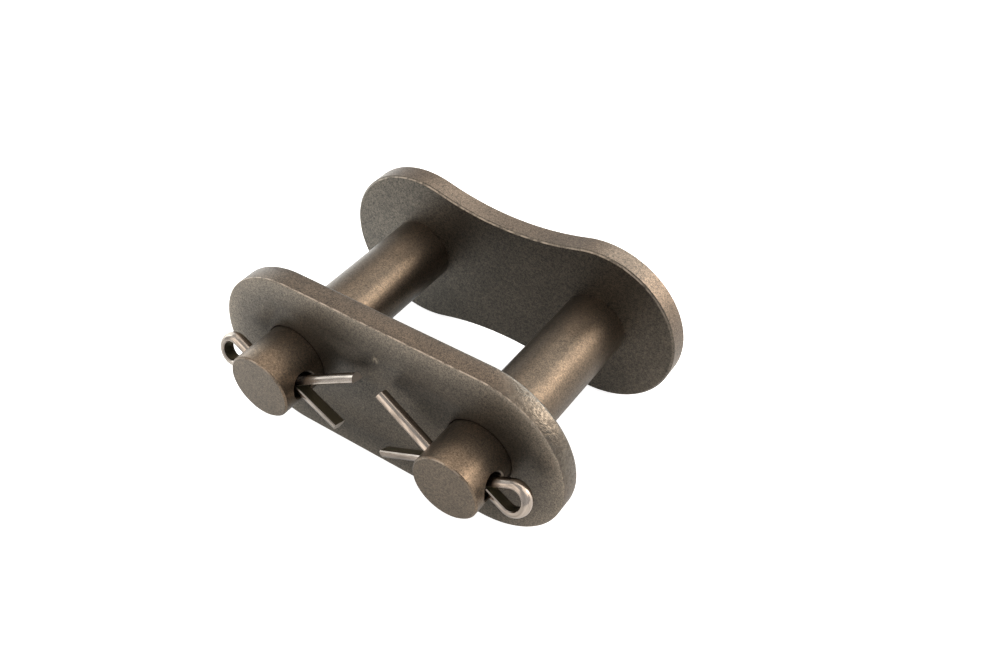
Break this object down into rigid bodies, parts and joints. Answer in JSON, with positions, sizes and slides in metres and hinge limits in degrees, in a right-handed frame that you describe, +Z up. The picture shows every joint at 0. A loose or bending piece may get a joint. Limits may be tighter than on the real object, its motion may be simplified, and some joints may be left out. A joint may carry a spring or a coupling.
{
  "type": "chain connecting link",
  "caption": "Connecting link of a roller chain: a riveted plate with pins, and a detachable plate held on by split pins.",
  "frame": {"origin": "on the left pin's axis, midway between the two plates' inner faces", "axes": "+X along the pitch to the right pin, +Y from the detachable plate to the riveted plate, +Z up across the plates' height"},
  "size_m": [0.0579, 0.0427, 0.0262],
  "materials": {
    "plate_steel": "dark oiled steel, fine grain, semi-gloss",
    "pin_steel": "hardened and ground, warm grey-brown, glossy",
    "split_pin_steel": "bright drawn wire"
  },
  "bodies": {
    "riveted_side": {"rear_plate": "plate_steel", "left_pin": "pin_steel", "right_pin": "pin_steel"},
    "detachable_plate": {"front_plate": "plate_steel"},
    "left_split_pin": {"left_split_pin": "split_pin_steel"},
    "right_split_pin": {"right_split_pin": "split_pin_steel"}
  },
  "joints": [
    {"name": "plate_slide", "type": "slide", "parent": "riveted_side", "child": "detachable_plate", "axis": [0, 1, 0], "range_m": [-0.00087, 0.0263]},
    {"name": "left_split_pin_turn", "type": "hinge", "parent": "riveted_side", "child": "left_split_pin", "pos_m": [0, -0.0204, 0], "axis": [1, 0, 0], "range_deg": [0, 55]},
    {"name": "right_split_pin_turn", "type": "hinge", "parent": "riveted_side", "child": "right_split_pin", "pos_m": [0.03175, -0.0204, 0], "axis": [1, 0, 0], "range_deg": [0, 62]}
  ]
}
